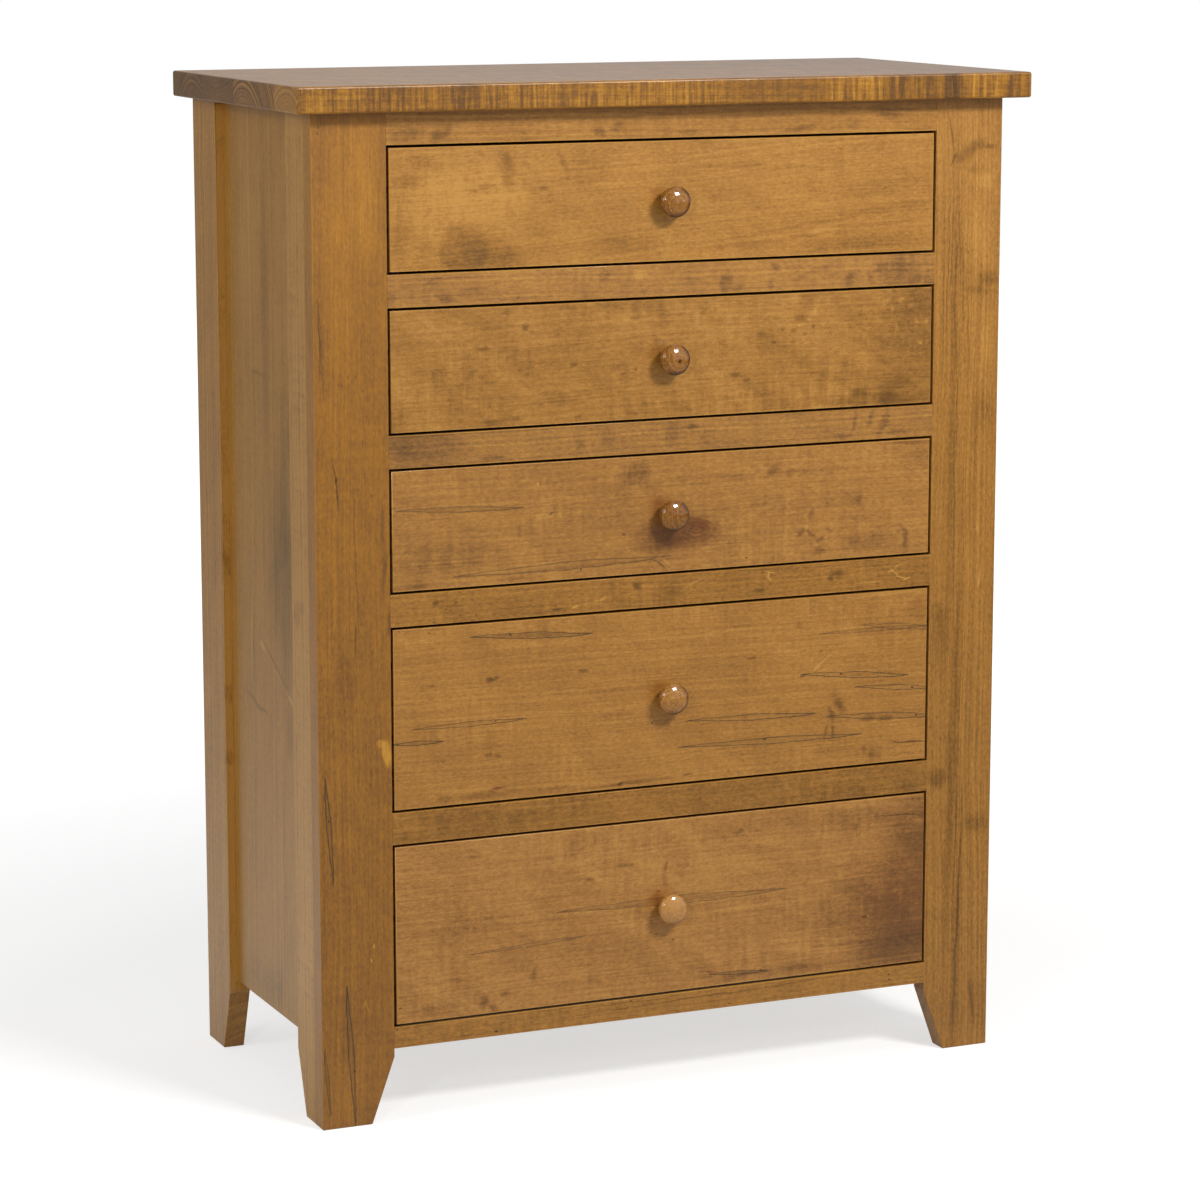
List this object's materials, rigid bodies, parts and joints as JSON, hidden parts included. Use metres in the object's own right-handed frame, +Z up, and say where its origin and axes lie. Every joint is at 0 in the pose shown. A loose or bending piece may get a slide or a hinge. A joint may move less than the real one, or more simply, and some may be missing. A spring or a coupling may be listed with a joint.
{
  "type": "chest of drawers",
  "caption": "Tall solid wood chest with inset drawers, turned mushroom knobs, square tapered feet and a thick overhanging top board.",
  "frame": {"origin": "on the floor, under the middle of the top board", "axes": "+X to the viewer's right along the front, +Y from the drawer fronts to the back, +Z up"},
  "size_m": [0.977, 0.473, 1.27],
  "materials": {
    "finished_maple": "satin oil and varnish on figured hardwood",
    "knob_lacquer": "glossy clear lacquer on turned hardwood",
    "plain_maple": "planed, thinly sealed",
    "birch_plywood": "sanded plywood, thinly sealed",
    "screw_steel": "zinc plated"
  },
  "bodies": {
    "carcass": {"top_board": "finished_maple", "front_stile_left": "finished_maple", "front_stile_right": "finished_maple", "front_leg_left": "finished_maple", "front_leg_right": "finished_maple", "rear_leg_left": "finished_maple", "rear_leg_right": "finished_maple", "side_panel_left": "finished_maple", "side_panel_right": "finished_maple", "front_rail_top": "finished_maple", "drawer_divider_1": "finished_maple", "drawer_divider_2": "finished_maple", "drawer_divider_3": "finished_maple", "drawer_divider_4": "finished_maple", "front_rail_bottom": "finished_maple", "back_rail_top": "plain_maple", "back_rail_bottom": "plain_maple", "back_panel": "birch_plywood", "drawer_runners_1": "plain_maple", "drawer_runners_2": "plain_maple", "drawer_runners_3": "plain_maple", "drawer_runners_4": "plain_maple", "drawer_runners_5": "plain_maple", "top_kickers": "plain_maple", "drawer_stops": "plain_maple", "back_panel_screws": "screw_steel", "top_board_screws": "screw_steel"},
    "drawer_1": {"drawer_1_front": "finished_maple", "drawer_1_side_left": "plain_maple", "drawer_1_side_right": "plain_maple", "drawer_1_back": "plain_maple", "drawer_1_bottom": "birch_plywood", "drawer_1_knob": "knob_lacquer"},
    "drawer_2": {"drawer_2_front": "finished_maple", "drawer_2_side_left": "plain_maple", "drawer_2_side_right": "plain_maple", "drawer_2_back": "plain_maple", "drawer_2_bottom": "birch_plywood", "drawer_2_knob": "knob_lacquer"},
    "drawer_3": {"drawer_3_front": "finished_maple", "drawer_3_side_left": "plain_maple", "drawer_3_side_right": "plain_maple", "drawer_3_back": "plain_maple", "drawer_3_bottom": "birch_plywood", "drawer_3_knob": "knob_lacquer"},
    "drawer_4": {"drawer_4_front": "finished_maple", "drawer_4_side_left": "plain_maple", "drawer_4_side_right": "plain_maple", "drawer_4_back": "plain_maple", "drawer_4_bottom": "birch_plywood", "drawer_4_knob": "knob_lacquer"},
    "drawer_5": {"drawer_5_front": "finished_maple", "drawer_5_side_left": "plain_maple", "drawer_5_side_right": "plain_maple", "drawer_5_back": "plain_maple", "drawer_5_bottom": "birch_plywood", "drawer_5_knob": "knob_lacquer"}
  },
  "joints": [
    {"name": "drawer_1_slide", "type": "slide", "parent": "carcass", "child": "drawer_1", "axis": [0, -1, 0], "range_m": [0, 0.3]},
    {"name": "drawer_2_slide", "type": "slide", "parent": "carcass", "child": "drawer_2", "axis": [0, -1, 0], "range_m": [0, 0.3]},
    {"name": "drawer_3_slide", "type": "slide", "parent": "carcass", "child": "drawer_3", "axis": [0, -1, 0], "range_m": [0, 0.3]},
    {"name": "drawer_4_slide", "type": "slide", "parent": "carcass", "child": "drawer_4", "axis": [0, -1, 0], "range_m": [0, 0.3]},
    {"name": "drawer_5_slide", "type": "slide", "parent": "carcass", "child": "drawer_5", "axis": [0, -1, 0], "range_m": [0, 0.3]}
  ]
}
